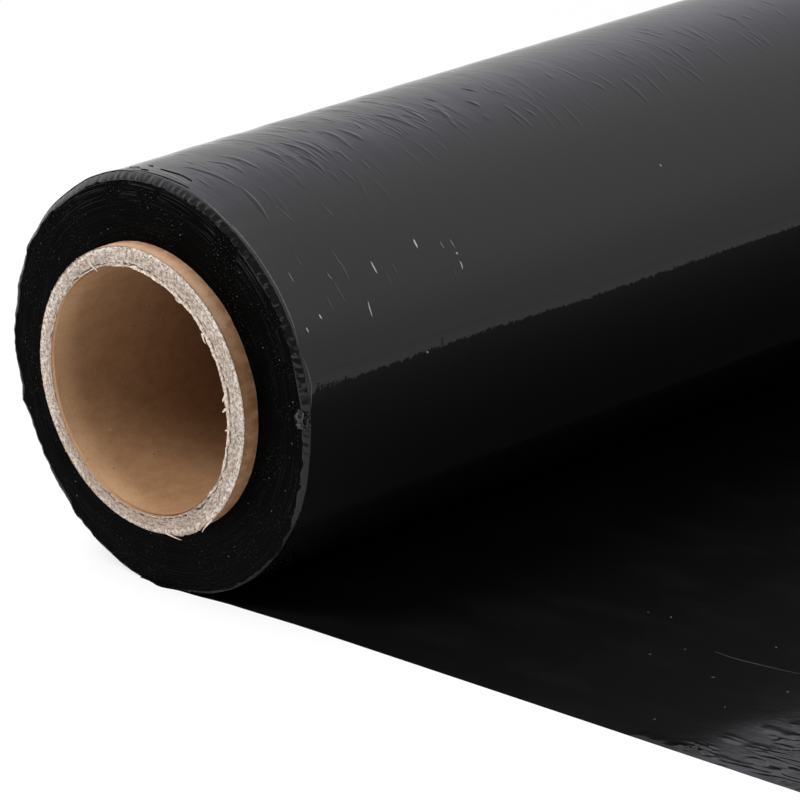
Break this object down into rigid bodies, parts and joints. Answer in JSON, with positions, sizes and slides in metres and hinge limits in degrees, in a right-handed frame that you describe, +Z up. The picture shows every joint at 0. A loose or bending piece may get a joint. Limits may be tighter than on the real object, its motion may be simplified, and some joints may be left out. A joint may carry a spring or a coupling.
{
  "type": "stretch wrap roll",
  "caption": "Roll of glossy black stretch film wound on a paper core, lying on its side with the first stretch of film pulled off flat.",
  "frame": {"origin": "on the axis of the core's bore, halfway along the roll", "axes": "+Y along the roll's axis, +Z up as the roll lies, +X towards the loose end of the film"},
  "size_m": [0.4431, 0.508, 0.0854],
  "materials": {
    "paper_core": "matt brown kraft board, greyer and fuzzy where it is cut",
    "stretch_film": "glossy black film, nearly matt on the ends of the winding"
  },
  "bodies": {
    "root": {"paper_core": "paper_core", "stretch_film": "stretch_film"}
  },
  "joints": []
}
